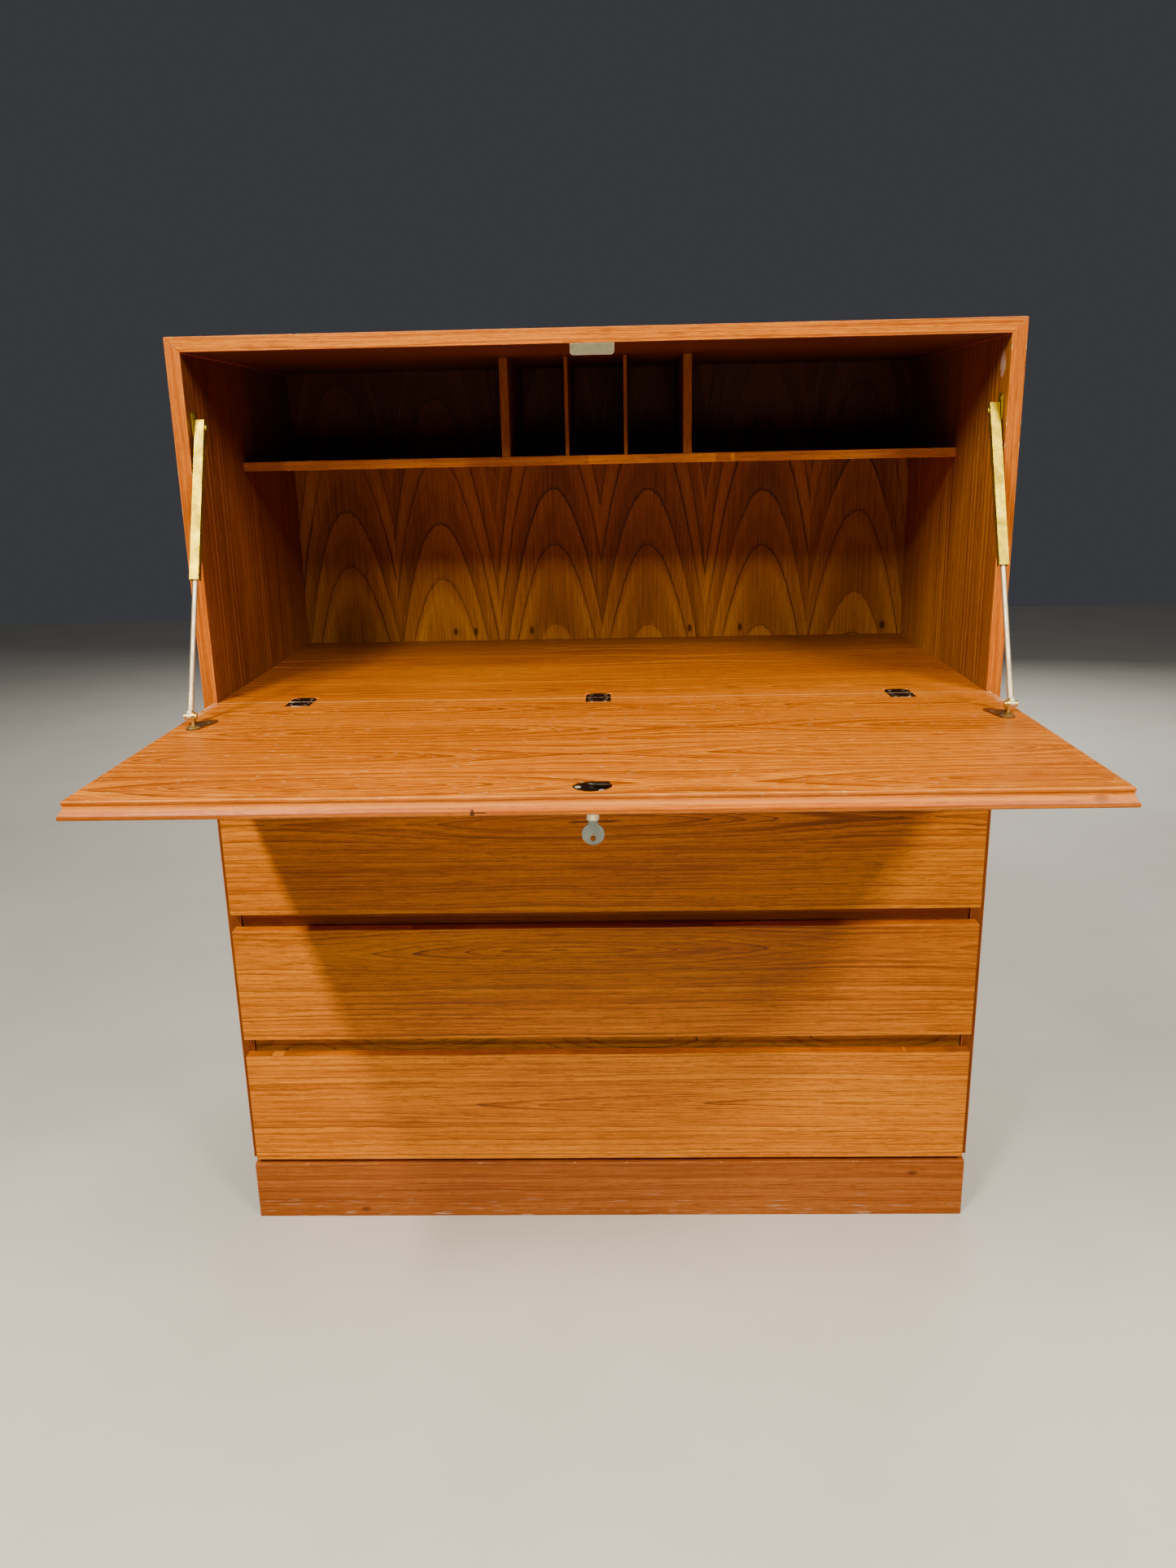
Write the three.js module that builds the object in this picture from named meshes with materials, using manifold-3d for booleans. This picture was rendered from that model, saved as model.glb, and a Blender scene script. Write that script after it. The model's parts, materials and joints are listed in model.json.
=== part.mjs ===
// Secretary desk: a teak case with a fall-front writing lid on two telescopic stays, pigeonholes
// above the writing board, and four drawers over a plinth.
// Millimetres. X runs left to right, Y front to back, Z up. The origin is on the floor, under the
// middle of the open desk's footprint. The lid is modelled open.
import * as THREE from "three";
import { mergeVertices } from "three/addons/utils/BufferGeometryUtils.js";
import Module from "manifold-3d";

const wasm = await Module();
wasm.setup();

// ---- driving dimensions ----
const GAP = 0.3; // clearance left between neighbouring pieces

const CASE_WIDTH = 980;
const CASE_DEPTH = 468;
const BOARD = 17; // thickness of the sides, top, bottom, lid and writing board
const DESK_HEIGHT = 727; // floor to writing surface
const TOP_HEIGHT = 1154; // floor to the top of the case
const BACK_THICKNESS = 6;
const REBATE = 8; // how far the back panel reaches into the sides and top

const PLINTH_HEIGHT = 84;
const PLINTH_INSET = 6; // plinth's side inset from the case's outer faces
const PLINTH_BACK_INSET = 18;

const LID_LENGTH = 421; // joint to the inner face's front edge
const LID_HALF = 478; // half width of the lid's inner face
const LIP = 4; // how far the moulding's lower lip stands out
const EDGING = 7; // width of the solid edging around the lid's veneer
const HINGE_SETBACK = 2; // lid pivot, in front of the case's front plane

const FRONT_HALF = 480.5; // half width of a drawer front
const FRONT_THICKNESS = 17;
// Each drawer front's top and bottom, below the writing surface, from the top drawer down.
const DRAWER_SPANS = [
  [22, 97],
  [119, 276.5],
  [298, 455],
  [479, 637],
];
const DRAWER_SIDE = 11;
const DRAWER_BOTTOM = 4;
const DRAWER_DEPTH = 425;
const GROOVE_DEPTH = 5;
const GROOVE_RISE = 7; // drawer side's bottom edge up to its groove

const RAIL_SETBACK = 5;
const RAIL_DEPTH = 34;
const RAIL_LAP = 4; // how far each rail reaches behind the fronts above and below it
const RUNNER_WIDTH = 22;
const RUNNER_HEIGHT = 18;

const SHELF_FRONT = 200;
const SHELF_TOP = 285; // above the writing surface
const SHELF_THICKNESS = 11.5;
const OUTER_DIVIDER = { x: 120, thickness: 11 };
const INNER_DIVIDER = { x: 38.7, thickness: 4.5 };

const HINGE_XS = [-367, 0, 367];
const HINGE_WIDTH = 30.5;
const LEAF_LENGTH = 24;
const LEAF_DEPTH = 2.2; // let into the wood
const LEAF_PROUD = 0.3;
const LEAF_CLEAR = 0.6; // leaf's near edge to the hinge axis
const LEAF_CORNER = 10;

const LOCK_REACH = 391; // lid pivot to lock axis
const LOCK_PLATE_RADIUS = 18;
const BARREL_RADIUS = 6;
const BARREL_END = -32; // below the lid's inner face
const CORE_RADIUS = 3.3;
const CAM_TIP = 16.5;
const KEY_BOW_RADIUS = 10.5;

const STAY_X = 464; // plane of the rod and channel
const UPPER_PIVOT = { y: 20, z: 327 }; // above the writing surface, behind the front plane
const LOWER_PIVOT = { y: -119, z: 10 };
const ROD_RADIUS = 3;
const ROD_LENGTH = 195;
const CHANNEL_WIDTH = 11;
const CHANNEL_ABOVE = 8;
const CHANNEL_BELOW = 186;
const CHANNEL_WALL = 1.2;
const CHANNEL_FRONT = 5.3; // rod axis to the channel's front face
const CHANNEL_BACK = 4; // rod axis to the channel's open back

// ---- derived places ----
const DESK = DESK_HEIGHT;
const HALF = CASE_WIDTH / 2;
const INNER_HALF = HALF - BOARD;
const LID_FRONT = HINGE_SETBACK + LID_LENGTH + LIP;
const SHIFT_Y = (LID_FRONT - CASE_DEPTH) / 2; // puts the origin under the footprint's middle
const CASE_BOTTOM = PLINTH_HEIGHT;
const CASE_TOP = TOP_HEIGHT;
const CEILING = TOP_HEIGHT - BOARD; // underside of the top panel
const BACK_FACE = CASE_DEPTH - BACK_THICKNESS - GAP; // inner face of the back panel

// ---- materials ----
const wood = (color) => new THREE.MeshStandardMaterial({ color, roughness: 0.45, metalness: 0 });
const metal = (color, roughness) =>
  new THREE.MeshStandardMaterial({ color, roughness, metalness: 1 });
const TEAK = wood(0xb5672b);
const EDGE_TEAK = wood(0xb8602c);
const INNER_TEAK = wood(0x9c5522);
const PLINTH_TEAK = wood(0x9a512a);
const DRAWER_WOOD = wood(0xc9a26b);
const BRASS = metal(0xc9a24a, 0.35);
const BRONZE = metal(0x5b4a3a, 0.4);
const NICKEL = metal(0xb9b8b2, 0.35);
const STEEL = metal(0xa9aaa6, 0.4);

const desk = new THREE.Group();
desk.position.y = SHIFT_Y;

// ---- solid helpers ----
function add(name, geometry, material) {
  const mesh = new THREE.Mesh(geometry, material);
  mesh.name = name;
  desk.add(mesh);
  return mesh;
}

function solid(geometry) {
  const bare = geometry.clone();
  bare.deleteAttribute("normal");
  bare.deleteAttribute("uv");
  const merged = mergeVertices(bare, 1e-4);
  return new wasm.Manifold(
    new wasm.Mesh({
      numProp: 3,
      vertProperties: merged.attributes.position.array,
      triVerts: new Uint32Array(merged.index.array),
    }),
  );
}

function geometryOf(body) {
  const mesh = body.getMesh();
  const geometry = new THREE.BufferGeometry();
  geometry.setAttribute("position", new THREE.BufferAttribute(mesh.vertProperties, 3));
  geometry.setIndex(new THREE.BufferAttribute(mesh.triVerts, 1));
  const flat = geometry.toNonIndexed();
  flat.computeVertexNormals();
  return flat;
}

const join = (...parts) => geometryOf(parts.map(solid).reduce((a, b) => a.add(b)));
const cut = (base, ...tools) =>
  geometryOf(tools.map(solid).reduce((a, b) => a.subtract(b), solid(base)));

// A box between two corners.
function box(x0, x1, y0, y1, z0, z1) {
  const geometry = new THREE.BoxGeometry(x1 - x0, y1 - y0, z1 - z0);
  return geometry.translate((x0 + x1) / 2, (y0 + y1) / 2, (z0 + z1) / 2);
}

function outline(points) {
  return new THREE.Shape(points.map(([a, b]) => new THREE.Vector2(a, b)));
}

// A rectangle with rounded corners; radii run lower left, lower right, upper right, upper left.
function roundedRectangle(x0, x1, z0, z1, radii) {
  const [r0, r1, r2, r3] = radii;
  const shape = new THREE.Shape();
  shape.moveTo(x0 + r0, z0);
  shape.lineTo(x1 - r1, z0);
  if (r1) shape.absarc(x1 - r1, z0 + r1, r1, -Math.PI / 2, 0);
  shape.lineTo(x1, z1 - r2);
  if (r2) shape.absarc(x1 - r2, z1 - r2, r2, 0, Math.PI / 2);
  shape.lineTo(x0 + r3, z1);
  if (r3) shape.absarc(x0 + r3, z1 - r3, r3, Math.PI / 2, Math.PI);
  shape.lineTo(x0, z0 + r0);
  if (r0) shape.absarc(x0 + r0, z0 + r0, r0, Math.PI, Math.PI * 1.5);
  return shape;
}

// An outline drawn in X and Z, extruded towards the front, from y1 to y0.
function alongY(shape, y0, y1, options = {}) {
  const settings = { depth: y1 - y0, bevelEnabled: false, curveSegments: 6, ...options };
  const geometry = new THREE.ExtrudeGeometry(shape, settings);
  return geometry.rotateX(Math.PI / 2).translate(0, y1, 0);
}

// An outline drawn in Y and Z, extruded from x0 to x1.
function alongX(shape, x0, x1) {
  const settings = { depth: x1 - x0, bevelEnabled: false, curveSegments: 10 };
  const geometry = new THREE.ExtrudeGeometry(shape, settings);
  const turn = new THREE.Matrix4().set(0, 0, 1, x0, 1, 0, 0, 0, 0, 1, 0, 0, 0, 0, 0, 1);
  return geometry.applyMatrix4(turn);
}

// An outline drawn in X and Y, extruded upwards from z0 to z1.
function alongZ(shape, z0, z1) {
  const settings = { depth: z1 - z0, bevelEnabled: false, curveSegments: 10 };
  return new THREE.ExtrudeGeometry(shape, settings).translate(0, 0, z0);
}

// A round bar along X.
function barX(radius, x0, x1, y, z, segments = 32) {
  const geometry = new THREE.CylinderGeometry(radius, radius, x1 - x0, segments);
  return geometry.rotateZ(Math.PI / 2).translate((x0 + x1) / 2, y, z);
}

// A round bar along Z.
function barZ(radius, x, y, z0, z1, segments = 36) {
  const geometry = new THREE.CylinderGeometry(radius, radius, z1 - z0, segments);
  return geometry.rotateX(Math.PI / 2).translate(x, y, (z0 + z1) / 2);
}

// ---- case ----
// The sides and the top meet in mitres at the upper corners, and hold the back in a rebate.
function caseSide(sign) {
  const mitreDrop = GAP * Math.SQRT2;
  const shape = outline([
    [HALF, CASE_BOTTOM],
    [HALF, CASE_TOP - mitreDrop],
    [INNER_HALF, CEILING - mitreDrop],
    [INNER_HALF, CASE_BOTTOM],
  ].map(([x, z]) => [sign * x, z]));
  const board = alongY(shape, 0, CASE_DEPTH);
  const inner = sign * (INNER_HALF - 1);
  const outer = sign * (INNER_HALF + REBATE);
  const rebate = box(
    Math.min(inner, outer), Math.max(inner, outer),
    BACK_FACE, CASE_DEPTH + 1, CASE_BOTTOM - 1, CASE_TOP - BOARD + REBATE,
  );
  return cut(board, rebate);
}

function caseTop() {
  const shape = outline([
    [-HALF, CASE_TOP],
    [-INNER_HALF, CEILING],
    [INNER_HALF, CEILING],
    [HALF, CASE_TOP],
  ]);
  const rebateHalf = INNER_HALF + REBATE;
  const rebate = box(
    -rebateHalf, rebateHalf, BACK_FACE, CASE_DEPTH + 1, CEILING - 1, CEILING + REBATE,
  );
  return cut(alongY(shape, 0, CASE_DEPTH), rebate);
}

add("side_left", caseSide(-1), TEAK);
add("side_right", caseSide(1), TEAK);
add("top_panel", caseTop(), TEAK);

const boardHalf = INNER_HALF - GAP;
const boardBack = BACK_FACE - GAP;
const lidJoint = -HINGE_SETBACK;

// Pocket for one hinge leaf; direction is +1 for the writing board's leaf, -1 for the lid's.
function leafPocket(x, direction) {
  const half = HINGE_WIDTH / 2 + GAP;
  const near = lidJoint - direction * LEAF_CLEAR;
  const far = lidJoint + direction * (LEAF_CLEAR + LEAF_LENGTH + GAP);
  return box(
    x - half, x + half, Math.min(near, far), Math.max(near, far),
    DESK - LEAF_DEPTH - GAP, DESK + 1,
  );
}

const writingBoard = box(
  -boardHalf, boardHalf, lidJoint + GAP / 2, boardBack, DESK - BOARD, DESK,
);
add("writing_board", cut(writingBoard, ...HINGE_XS.map((x) => leafPocket(x, 1))), TEAK);

const bottomPanel = box(
  -boardHalf, boardHalf, RAIL_SETBACK, boardBack, CASE_BOTTOM, CASE_BOTTOM + BOARD,
);
add("bottom_panel", bottomPanel, INNER_TEAK);

const backHalf = INNER_HALF + REBATE - GAP;
const backPanel = box(
  -backHalf, backHalf, BACK_FACE + GAP / 2, CASE_DEPTH - GAP / 2,
  CASE_BOTTOM, CEILING + REBATE - GAP,
);
add("back_panel", backPanel, INNER_TEAK);

// ---- plinth ----
const plinthHalf = HALF - PLINTH_INSET;
const plinthTop = PLINTH_HEIGHT - GAP;
const plinthBack = CASE_DEPTH - PLINTH_BACK_INSET;
add("plinth_front", box(-plinthHalf, plinthHalf, -FRONT_THICKNESS, 0, 0, plinthTop), PLINTH_TEAK);
for (const [name, sign] of [["plinth_left", -1], ["plinth_right", 1]]) {
  const side = box(
    sign * plinthHalf - (sign > 0 ? BOARD : 0), sign * plinthHalf + (sign > 0 ? 0 : BOARD),
    GAP, plinthBack, 0, plinthTop,
  );
  add(name, side, PLINTH_TEAK);
}
const plinthBackHalf = plinthHalf - BOARD - GAP;
add(
  "plinth_back",
  box(-plinthBackHalf, plinthBackHalf, plinthBack - BOARD, plinthBack, 0, plinthTop),
  PLINTH_TEAK,
);

// ---- shelf and pigeonholes ----
const shelfTop = DESK + SHELF_TOP;
add(
  "shelf",
  box(-boardHalf, boardHalf, SHELF_FRONT, boardBack, shelfTop - SHELF_THICKNESS, shelfTop),
  INNER_TEAK,
);
const dividers = [
  ["divider_outer_left", -OUTER_DIVIDER.x, OUTER_DIVIDER.thickness],
  ["divider_inner_left", -INNER_DIVIDER.x, INNER_DIVIDER.thickness],
  ["divider_inner_right", INNER_DIVIDER.x, INNER_DIVIDER.thickness],
  ["divider_outer_right", OUTER_DIVIDER.x, OUTER_DIVIDER.thickness],
];
for (const [name, x, thickness] of dividers) {
  const divider = box(
    x - thickness / 2, x + thickness / 2, SHELF_FRONT, boardBack, shelfTop + GAP, CEILING - GAP,
  );
  add(name, divider, INNER_TEAK);
}

// ---- drawer frames: a front rail with a runner along each side, in one U ----
function drawerFrame(top, bottom) {
  const railBack = RAIL_SETBACK + RAIL_DEPTH;
  const runnerInner = boardHalf - RUNNER_WIDTH;
  const shape = outline([
    [-boardHalf, RAIL_SETBACK],
    [boardHalf, RAIL_SETBACK],
    [boardHalf, boardBack],
    [runnerInner, boardBack],
    [runnerInner, railBack],
    [-runnerInner, railBack],
    [-runnerInner, boardBack],
    [-boardHalf, boardBack],
  ]);
  const under = box(
    -boardHalf - 1, boardHalf + 1, railBack, boardBack + 1, bottom - 1, top - RUNNER_HEIGHT,
  );
  return cut(alongZ(shape, bottom, top), under);
}

const runnerTops = [];
for (let i = 0; i < DRAWER_SPANS.length - 1; i += 1) {
  const top = DESK - DRAWER_SPANS[i][1] + RAIL_LAP;
  const bottom = DESK - DRAWER_SPANS[i + 1][0] - RAIL_LAP;
  add("drawer_frame_" + (i + 1), drawerFrame(top, bottom), INNER_TEAK);
  runnerTops.push({ top, bottom });
}

// ---- drawers, numbered from the top ----
const FRONT_BEVEL = 1.2;
const FRONT_CORNER = 0.8;
const DRAWER_HEADROOM = 5;
const DRAWER_SIDE_CLEAR = 1.5;
const DRAWER_BACK_SETBACK = 4; // sides' rear ends to the drawer back's rear face
const DRAWER_BACK_DROP = 4; // sides' top edges down to the drawer back's

function drawerFront(top, bottom, grooveBottom) {
  const shape = roundedRectangle(
    -FRONT_HALF + FRONT_BEVEL, FRONT_HALF - FRONT_BEVEL, bottom + FRONT_BEVEL,
    top - FRONT_BEVEL, Array(4).fill(FRONT_CORNER),
  );
  const front = alongY(shape, -FRONT_THICKNESS + FRONT_BEVEL, -GAP - FRONT_BEVEL, {
    bevelEnabled: true,
    bevelThickness: FRONT_BEVEL,
    bevelSize: FRONT_BEVEL,
    bevelSegments: 2,
  });
  const half = INNER_HALF - DRAWER_SIDE_CLEAR - DRAWER_SIDE;
  const groove = box(
    -half, half, -GAP - GROOVE_DEPTH, 1, grooveBottom, grooveBottom + DRAWER_BOTTOM + 2 * GAP,
  );
  return cut(front, groove);
}

function drawer(number, frontTop, frontBottom, boxBottom, boxTop) {
  const name = "drawer_" + number;
  const grooveBottom = boxBottom + GROOVE_RISE;
  const grooveTop = grooveBottom + DRAWER_BOTTOM + 2 * GAP;
  const outer = INNER_HALF - DRAWER_SIDE_CLEAR;
  const inner = outer - DRAWER_SIDE;
  const sideProfile = [
    [outer, boxBottom],
    [outer, boxTop],
    [inner, boxTop],
    [inner, grooveTop],
    [inner + GROOVE_DEPTH, grooveTop],
    [inner + GROOVE_DEPTH, grooveBottom],
    [inner, grooveBottom],
    [inner, boxBottom],
  ];
  add(name + "_front", drawerFront(frontTop, frontBottom, grooveBottom), TEAK);
  for (const [side, sign] of [["_side_left", -1], ["_side_right", 1]]) {
    const profile = outline(sideProfile.map(([x, z]) => [sign * x, z]));
    add(name + side, alongY(profile, 0, DRAWER_DEPTH), DRAWER_WOOD);
  }
  const backEdge = DRAWER_DEPTH - DRAWER_BACK_SETBACK;
  const back = box(
    -inner + GAP, inner - GAP, backEdge - DRAWER_SIDE, backEdge,
    grooveTop, boxTop - DRAWER_BACK_DROP,
  );
  add(name + "_back", back, DRAWER_WOOD);
  const bottomHalf = inner + GROOVE_DEPTH - GAP;
  const bottom = box(
    -bottomHalf, bottomHalf, 0, DRAWER_DEPTH, grooveBottom + GAP, grooveTop - GAP,
  );
  const tongue = box(
    -inner + GAP, inner - GAP, -GROOVE_DEPTH, 1, grooveBottom + GAP, grooveTop - GAP,
  );
  add(name + "_bottom", join(bottom, tongue), DRAWER_WOOD);
}

for (let i = 0; i < DRAWER_SPANS.length; i += 1) {
  const [topOffset, bottomOffset] = DRAWER_SPANS[i];
  const runner = i < runnerTops.length ? runnerTops[i].top : CASE_BOTTOM + BOARD;
  const ceiling = i > 0 ? runnerTops[i - 1].bottom : DESK - BOARD;
  drawer(i + 1, DESK - topOffset, DESK - bottomOffset, runner + GAP, ceiling - DRAWER_HEADROOM);
}

// ---- lid ----
// The moulding's profile: o is outwards from the lid's inner face edge, z is above the desk.
// A square arris, a small step in, a cove, then the rounded lip at the lid's outer face.
function mouldingProfile() {
  const arris = 0.4;
  const cove = { start: -0.8, end: LIP * 0.88, top: -2.6, bottom: -13.2, sag: 1.3, steps: 8 };
  const points = [[-EDGING, -BOARD], [-EDGING, 0], [-arris, 0], [0, -arris], [0, cove.top]];
  for (let i = 0; i <= cove.steps; i += 1) {
    const t = i / cove.steps;
    const out = cove.start + (cove.end - cove.start) * t - cove.sag * Math.sin(Math.PI * t);
    points.push([out, cove.top + (cove.bottom - cove.top) * t]);
  }
  points.push([LIP - 0.1, -BOARD + 2.9], [LIP, -BOARD + 2], [LIP - 0.3, -BOARD + 0.8]);
  points.push([LIP - 1.1, -BOARD]);
  return points;
}

// Moulding along X or Y between two planes; a mitred end grows by the outward coordinate.
function moulding(start, end, mitreStart, mitreEnd, place) {
  const settings = { depth: 1, bevelEnabled: false };
  const geometry = new THREE.ExtrudeGeometry(outline(mouldingProfile()), settings);
  const position = geometry.attributes.position;
  const point = new THREE.Vector3();
  for (let i = 0; i < position.count; i += 1) {
    point.fromBufferAttribute(position, i);
    const out = point.x;
    const first = start - (mitreStart ? out : 0);
    const last = end + (mitreEnd ? out : 0);
    const along = point.z < 0.5 ? last : first;
    position.setXYZ(i, ...place(out, along, DESK + point.y));
  }
  return geometry;
}

const lidFace = lidJoint - LID_LENGTH; // y of the inner face's front edge
const lidBack = lidJoint - GAP / 2;
const mitreGap = GAP / 2;

const lockY = lidJoint - LOCK_REACH;
const PLATE_TOP = DESK - 1;
const PLATE_BOTTOM = DESK - 2.3;
const lidHoles = [
  ...HINGE_XS.map((x) => leafPocket(x, -1)),
  barZ(LOCK_PLATE_RADIUS + GAP, 0, lockY, PLATE_BOTTOM - GAP, DESK + 1, 64),
  barZ(BARREL_RADIUS + GAP, 0, lockY, DESK - BOARD - 1, DESK),
];
const lidPanel = box(
  -LID_HALF + EDGING + GAP, LID_HALF - EDGING - GAP, lidFace + EDGING + GAP, lidBack,
  DESK - BOARD, DESK,
);
add("lid_panel", cut(lidPanel, ...lidHoles), TEAK);

const frontEdging = moulding(
  -LID_HALF + mitreGap, LID_HALF - mitreGap, true, true,
  (out, along, z) => [along, lidFace - out, z],
);
add("lid_edge_front", frontEdging, EDGE_TEAK);
const rightEdging = moulding(
  lidFace + mitreGap, lidBack, true, false,
  (out, along, z) => [LID_HALF + out, along, z],
);
add("lid_edge_right", rightEdging, EDGE_TEAK);
// The left edging runs from the back to the front, so that it turns the same way as the right.
const leftEdging = moulding(
  -lidBack, -lidFace - mitreGap, false, true,
  (out, along, z) => [-LID_HALF - out, -along, z],
);
add("lid_edge_left", leftEdging, EDGE_TEAK);

// ---- flap hinges: one leaf in the writing board, one in the lid ----
function hingeLeaf(x, direction) {
  const near = lidJoint + direction * LEAF_CLEAR;
  const far = near + direction * LEAF_LENGTH;
  const [y0, y1] = [Math.min(near, far), Math.max(near, far)];
  const radii = direction > 0 ? [0, 0, LEAF_CORNER, LEAF_CORNER] : [LEAF_CORNER, LEAF_CORNER, 0, 0];
  const shape = roundedRectangle(x - HINGE_WIDTH / 2, x + HINGE_WIDTH / 2, y0, y1, radii);
  return alongZ(shape, DESK - LEAF_DEPTH, DESK + LEAF_PROUD);
}
const placeNames = ["left", "centre", "right"];
HINGE_XS.forEach((x, i) => {
  add("hinge_leaf_desk_" + placeNames[i], hingeLeaf(x, 1), BRONZE);
  add("hinge_leaf_lid_" + placeNames[i], hingeLeaf(x, -1), BRONZE);
});

// ---- lock, key and strike ----
const barrelTube = (inner, z0, z1) => cut(
  barZ(BARREL_RADIUS, 0, lockY, z0, z1),
  barZ(inner, 0, lockY, z0 - 1, z1 + 1),
);
const lockBore = CORE_RADIUS + GAP;
const lockCase = cut(
  join(
    barZ(LOCK_PLATE_RADIUS, 0, lockY, PLATE_BOTTOM, PLATE_TOP, 64),
    barrelTube(lockBore, DESK + BARREL_END, PLATE_BOTTOM + 0.5),
  ),
  barZ(lockBore, 0, lockY, DESK + BARREL_END - 1, DESK),
);
add("lock_case", lockCase, BRASS);

const CAM = { bottom: DESK + 1.7, top: DESK + 2.9, halfWidth: 4.2, corner: 2.5 };
const CORE_STANDS = 0.4; // core's end above the cam
const KEY_BLADE = { thickness: 1.6, width: 4.2, length: 20 };
const coreBottom = DESK + BARREL_END + 0.2;
function lockCam() {
  const shape = new THREE.Shape();
  shape.absarc(0, lockY, CAM.halfWidth, Math.PI / 2, Math.PI * 1.5);
  const [endX, endHalf] = [CAM_TIP - CAM.corner, CAM.halfWidth - CAM.corner];
  shape.lineTo(endX, lockY - CAM.halfWidth);
  shape.absarc(endX, lockY - endHalf, CAM.corner, -Math.PI / 2, 0);
  shape.absarc(endX, lockY + endHalf, CAM.corner, 0, Math.PI / 2);
  shape.lineTo(0, lockY + CAM.halfWidth);
  const keyway = box(
    -KEY_BLADE.width / 2 - GAP, KEY_BLADE.width / 2 + GAP,
    lockY - KEY_BLADE.thickness / 2 - GAP, lockY + KEY_BLADE.thickness / 2 + GAP,
    coreBottom - 1, coreBottom + KEY_BLADE.length + GAP,
  );
  const body = join(
    alongZ(shape, CAM.bottom, CAM.top),
    barZ(CORE_RADIUS, 0, lockY, coreBottom, CAM.top + CORE_STANDS),
  );
  return cut(body, keyway);
}
add("lock_cam", lockCam(), NICKEL);

const KEY = { drop: 46, halfThickness: 1.1, holeDrop: 4, holeRadius: 2.7, neckHalf: 4.3, neckRise: 8 };
const KEY_CLEAR = 0.6; // neck's shoulder to the lock core
function key() {
  const bowZ = DESK - KEY.drop;
  const bow = new THREE.Shape();
  bow.absarc(0, bowZ, KEY_BOW_RADIUS, 0, Math.PI * 2);
  const hole = new THREE.Path();
  hole.absarc(0, bowZ - KEY.holeDrop, KEY.holeRadius, 0, Math.PI * 2, true);
  bow.holes.push(hole);
  const y0 = lockY - KEY.halfThickness;
  const y1 = lockY + KEY.halfThickness;
  const neckTop = coreBottom - KEY_CLEAR;
  const disc = alongY(bow, y0, y1, { curveSegments: 16 });
  const neck = box(-KEY.neckHalf, KEY.neckHalf, y0, y1, bowZ + KEY.neckRise, neckTop);
  const blade = box(
    -KEY_BLADE.width / 2, KEY_BLADE.width / 2,
    lockY - KEY_BLADE.thickness / 2, lockY + KEY_BLADE.thickness / 2,
    neckTop - 1, coreBottom + KEY_BLADE.length,
  );
  return join(disc, neck, blade);
}
add("key", key(), STEEL);

// The strike's flange hangs in the joint between the case's front and the closed lid.
const STRIKE = { front: -1.3, half: 25.2, bottom: 397, thickness: 0.8, reach: 16, corner: 4 };
const strikeTop = CEILING - GAP;
const strikeFlange = alongY(
  roundedRectangle(
    -STRIKE.half, STRIKE.half, DESK + STRIKE.bottom, strikeTop, [STRIKE.corner, STRIKE.corner, 0, 0],
  ),
  STRIKE.front, STRIKE.front + STRIKE.thickness,
);
const strikeLeg = box(
  -STRIKE.half, STRIKE.half, STRIKE.front, STRIKE.reach, strikeTop - STRIKE.thickness, strikeTop,
);
add("strike_plate", join(strikeFlange, strikeLeg), NICKEL);

// ---- stays ----
// Each stay is a rod pinned to a bracket on the lid, sliding in a channel hung from the case side.
const upper = { y: UPPER_PIVOT.y, z: DESK + UPPER_PIVOT.z };
const lower = { y: LOWER_PIVOT.y, z: DESK + LOWER_PIVOT.z };
const stayLean = Math.atan2(upper.y - lower.y, upper.z - lower.z);

// Turns a shape drawn upright about a pivot at the origin, then carries it to that pivot.
const lean = (geometry, pivot) => geometry.rotateX(-stayLean).translate(0, pivot.y, pivot.z);

const PIN_RADIUS = 1.8;
const EYE = { radius: 4, inner: STAY_X - 1.8, outer: STAY_X + 4.2 };
const SLEEVE = { radius: 3.75, start: 6, end: 27 };
const WEB = { outer: STAY_X + 3, half: 2.4, start: 2 };
const SLIDER = { halfX: 4.2, back: 3.2, front: 3.8, length: 14 };

function stayRod() {
  const eye = barX(EYE.radius, EYE.inner, EYE.outer, 0, 0);
  const web = box(EYE.inner, WEB.outer, -WEB.half, WEB.half, WEB.start, SLEEVE.start + 1);
  const sleeve = barZ(SLEEVE.radius, STAY_X, 0, SLEEVE.start, SLEEVE.end, 28);
  const rod = barZ(ROD_RADIUS, STAY_X, 0, SLEEVE.end - 1, ROD_LENGTH, 24);
  const slider = box(
    STAY_X - SLIDER.halfX, STAY_X + SLIDER.halfX, -SLIDER.front, SLIDER.back,
    ROD_LENGTH - SLIDER.length, ROD_LENGTH,
  );
  const hole = barX(PIN_RADIUS + GAP, EYE.inner - 1, EYE.outer + 1, 0, 0);
  return lean(cut(join(eye, web, sleeve, rod, slider), hole), lower);
}

const RIVET = { radius: 2.2, stands: 2, headRadius: 3.4, headStands: 2.2 };
const PLATE_FACE = STAY_X + CHANNEL_WIDTH / 2 + 1; // inner face of the upper plate
function stayChannel() {
  const [x0, x1] = [STAY_X - CHANNEL_WIDTH / 2, STAY_X + CHANNEL_WIDTH / 2];
  const shape = outline([
    [x0, -CHANNEL_FRONT],
    [x1, -CHANNEL_FRONT],
    [x1, CHANNEL_BACK],
    [x1 - CHANNEL_WALL, CHANNEL_BACK],
    [x1 - CHANNEL_WALL, -CHANNEL_FRONT + CHANNEL_WALL],
    [x0 + CHANNEL_WALL, -CHANNEL_FRONT + CHANNEL_WALL],
    [x0 + CHANNEL_WALL, CHANNEL_BACK],
    [x0, CHANNEL_BACK],
  ]);
  const channel = alongZ(shape, -CHANNEL_BELOW, CHANNEL_ABOVE);
  const rivet = barX(RIVET.radius, x0 - RIVET.stands, PLATE_FACE - GAP, 0, 0);
  const head = barX(RIVET.headRadius, x0 - RIVET.headStands, x0 + 0.5, 0, 0);
  return lean(join(channel, rivet, head), upper);
}

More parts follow.
